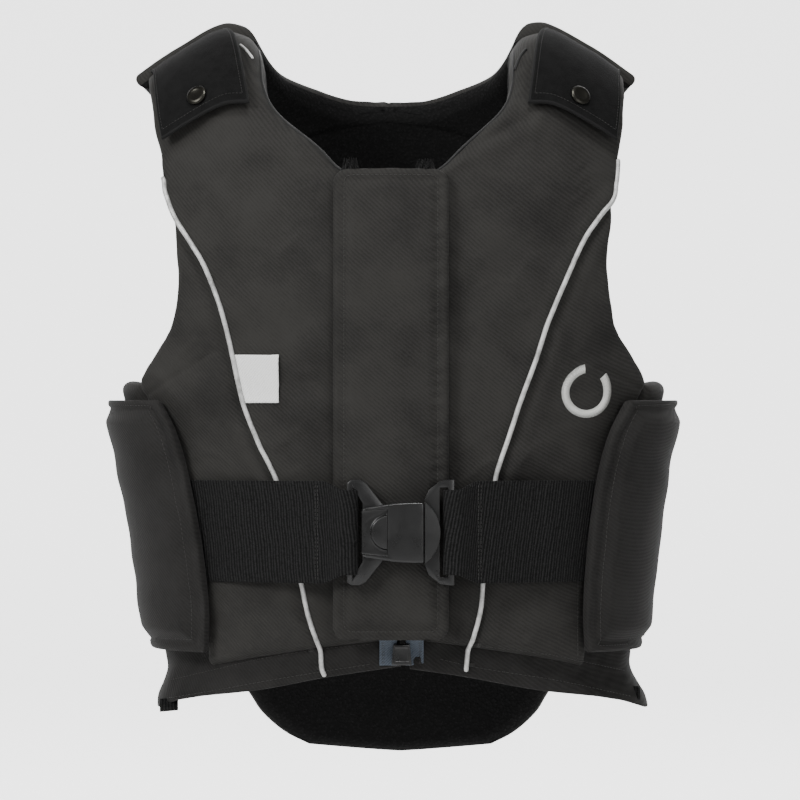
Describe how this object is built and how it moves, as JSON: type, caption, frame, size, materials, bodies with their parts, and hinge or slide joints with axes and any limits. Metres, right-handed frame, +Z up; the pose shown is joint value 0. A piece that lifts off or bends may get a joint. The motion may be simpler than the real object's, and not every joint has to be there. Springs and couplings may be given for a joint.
{
  "type": "equestrian body protector",
  "caption": "Padded front-zip riding vest with shoulder straps, open armholes, side wings, a zip cover, piped curved seams and a wide waist elastic with a side-release buckle.",
  "frame": {"origin": "Between the shoulders, midway between the two sides of the wearer's form, at the height where the shoulder straps sit on the shoulders.", "axes": "+Z is up along the worn vest. -Y is the front, where the zip is. +X is the wearer's left."},
  "size_m": [0.4204, 0.2473, 0.534],
  "materials": {
    "charcoal_twill": "fine twill shell over closed-cell foam, matt",
    "black_knit": "brushed knit lining, matt",
    "black_pile": "short pile of a hook-and-loop tab, matt",
    "black_elastic": "ribbed woven elastic, matt",
    "black_acetal": "moulded acetal, satin",
    "silver_piping": "reflective tape over cord, satin",
    "white_tab": "plain woven tab, matt",
    "grey_tape": "woven zip tape, matt",
    "black_teeth": "moulded zip teeth, satin"
  },
  "bodies": {
    "root": {"back_panel": "charcoal_twill", "back_lining": "black_knit", "front_panel_left": "charcoal_twill", "front_panel_right": "charcoal_twill", "hem_band_left": "charcoal_twill", "hem_band_right": "charcoal_twill", "side_panel_left": "charcoal_twill", "side_panel_right": "charcoal_twill", "side_wing_left": "charcoal_twill", "side_wing_right": "charcoal_twill", "shoulder_flap_left": "black_pile", "shoulder_flap_right": "black_pile", "snap_cap_left": "black_acetal", "snap_cap_right": "black_acetal", "placket_flap": "charcoal_twill", "zip_tape_left": "grey_tape", "zip_tape_right": "grey_tape", "zip_chain": "black_teeth", "zip_box": "black_acetal", "piping_left": "silver_piping", "piping_right": "silver_piping", "side_label": "white_tab", "waist_elastic_left": "black_elastic", "waist_elastic_right": "black_elastic", "buckle_socket": "black_acetal", "buckle_plug": "black_acetal"}
  },
  "joints": []
}
